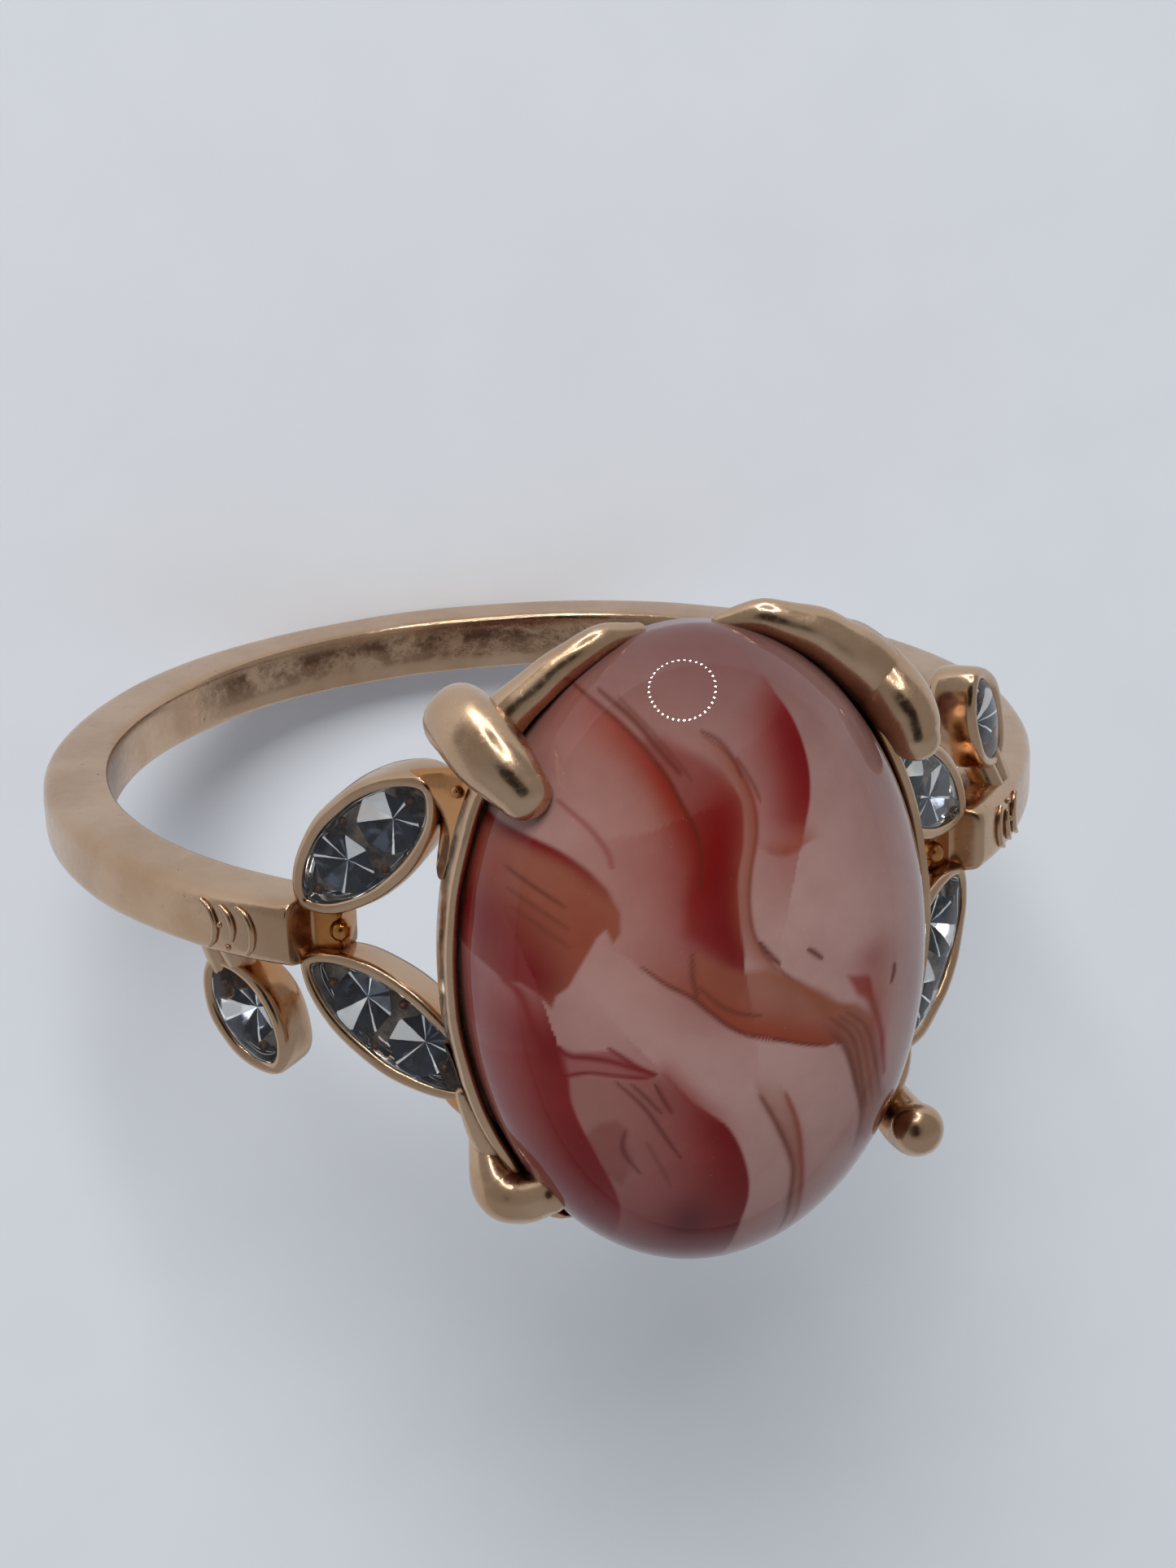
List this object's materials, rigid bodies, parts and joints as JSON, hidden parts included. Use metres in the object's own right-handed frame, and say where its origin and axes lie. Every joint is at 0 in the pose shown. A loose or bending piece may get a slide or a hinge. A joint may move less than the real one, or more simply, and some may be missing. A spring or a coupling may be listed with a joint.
{
  "type": "cocktail ring",
  "caption": "Finger ring with a domed oval stone held by claws in an oval gallery, between shoulders of leaf-shaped cups set with small round stones.",
  "frame": {"origin": "centre of the finger bore, on its axis, midway across the band", "axes": "+Y along the finger, +Z from the finger towards the stone, +X across the finger to the right when the stone is seen from above with +Y up"},
  "size_m": [0.0232, 0.0144, 0.0274],
  "materials": {
    "rose_gold_plate": "rose-gold plating over cast brass, satin polish",
    "swirled_glass": "milky pink glass with red and brown swirls, polished",
    "rhinestone_glass": "clear faceted glass with a dark foil back",
    "clear_resin": "clear setting resin over a dark oxidised pocket",
    "adhesive": "cured clear adhesive"
  },
  "bodies": {
    "root": {"adhesive_film": "adhesive", "cabochon": "swirled_glass", "gallery": "rose_gold_plate", "left_lower_bridge": "rose_gold_plate", "left_lower_claw": "rose_gold_plate", "left_lower_leaf_cup": "rose_gold_plate", "left_lower_leaf_resin": "clear_resin", "left_lower_rhinestone_1": "rhinestone_glass", "left_lower_rhinestone_2": "rhinestone_glass", "left_small_leaf_cup": "rose_gold_plate", "left_small_leaf_resin": "clear_resin", "left_small_rhinestone_1": "rhinestone_glass", "left_tendril": "rose_gold_plate", "left_upper_bridge": "rose_gold_plate", "left_upper_claw": "rose_gold_plate", "left_upper_leaf_cup": "rose_gold_plate", "left_upper_leaf_resin": "clear_resin", "left_upper_rhinestone_1": "rhinestone_glass", "left_upper_rhinestone_2": "rhinestone_glass", "right_lower_bridge": "rose_gold_plate", "right_lower_claw": "rose_gold_plate", "right_lower_leaf_cup": "rose_gold_plate", "right_lower_leaf_resin": "clear_resin", "right_lower_rhinestone_1": "rhinestone_glass", "right_lower_rhinestone_2": "rhinestone_glass", "right_small_leaf_cup": "rose_gold_plate", "right_small_leaf_resin": "clear_resin", "right_small_rhinestone_1": "rhinestone_glass", "right_tendril": "rose_gold_plate", "right_upper_bridge": "rose_gold_plate", "right_upper_claw": "rose_gold_plate", "right_upper_leaf_cup": "rose_gold_plate", "right_upper_leaf_resin": "clear_resin", "right_upper_rhinestone_1": "rhinestone_glass", "right_upper_rhinestone_2": "rhinestone_glass", "shank": "rose_gold_plate"}
  },
  "joints": []
}
